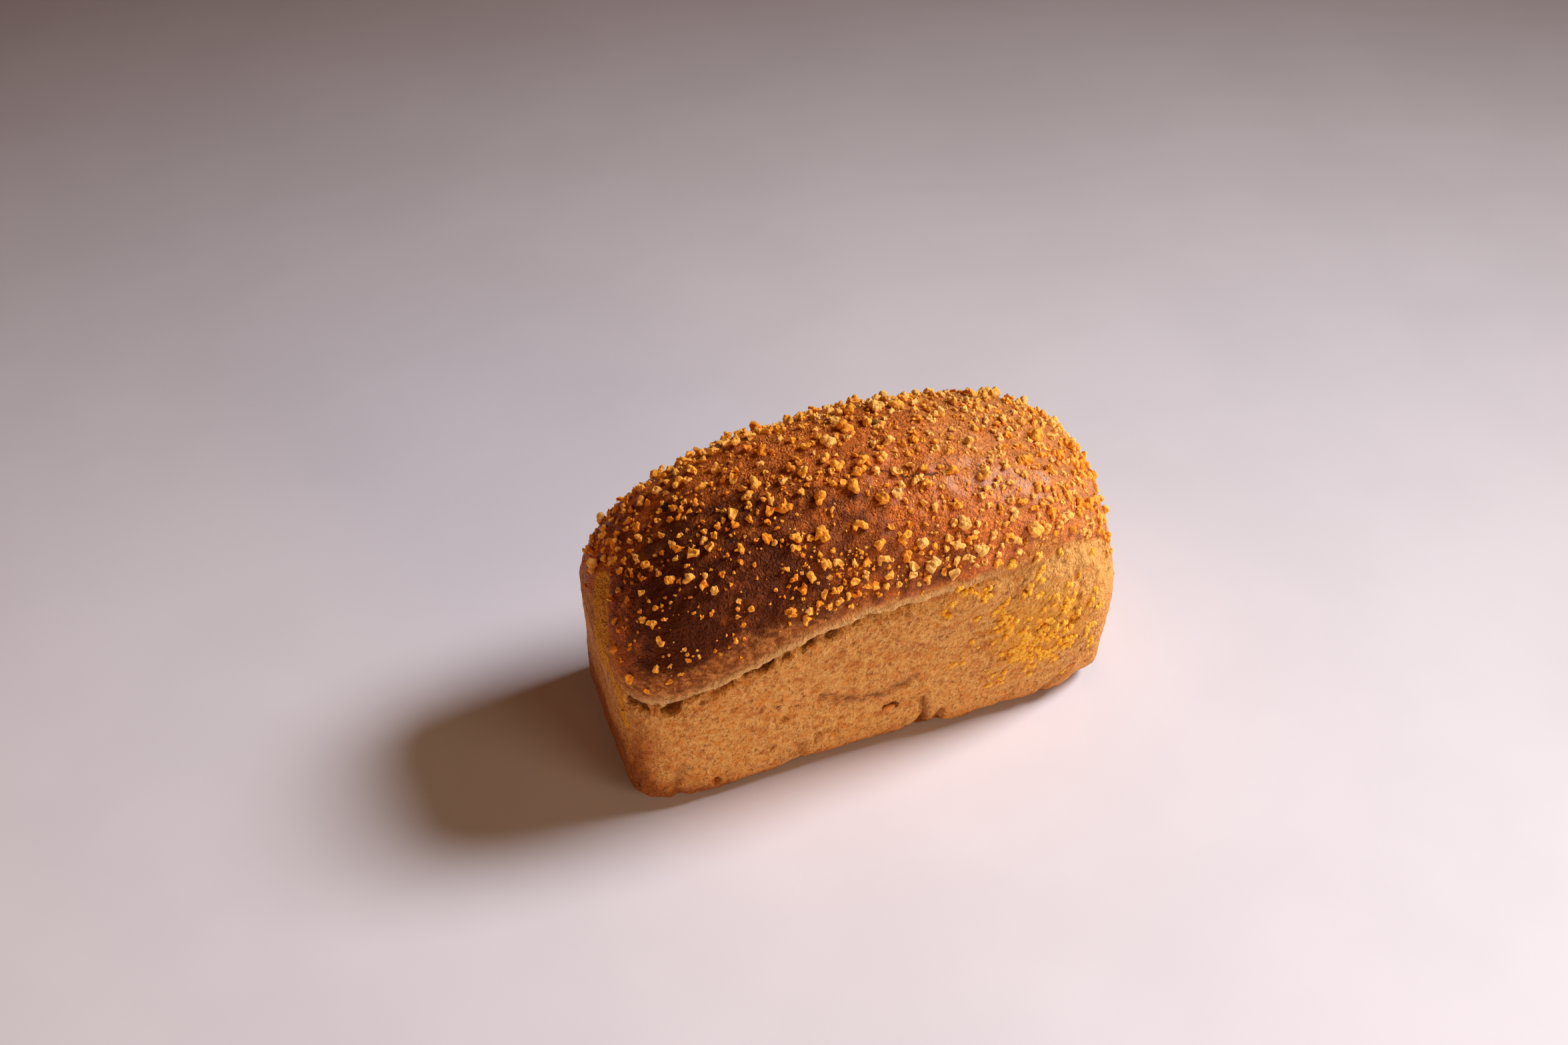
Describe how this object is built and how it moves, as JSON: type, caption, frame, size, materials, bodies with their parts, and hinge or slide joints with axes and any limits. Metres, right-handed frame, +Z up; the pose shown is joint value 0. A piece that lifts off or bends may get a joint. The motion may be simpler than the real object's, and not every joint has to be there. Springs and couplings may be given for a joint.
{
  "type": "corn bread loaf",
  "caption": "Small tin-baked corn bread loaf: flat bottom, tapered walls, a high domed crust overhanging a split in its long side, strewn with corn crumbs.",
  "frame": {"origin": "middle of the loaf's box, on the surface that it stands on", "axes": "+X along the loaf, +Z up, and the long side with the shown split faces -Y"},
  "size_m": [0.1914, 0.0906, 0.1179],
  "materials": {
    "crust": "baked crust, satin on the crown and matt on the walls",
    "corn_crumb": "toasted corn crumb, matt"
  },
  "bodies": {
    "root": {"cornbread_loaf": "crust"}
  },
  "joints": []
}
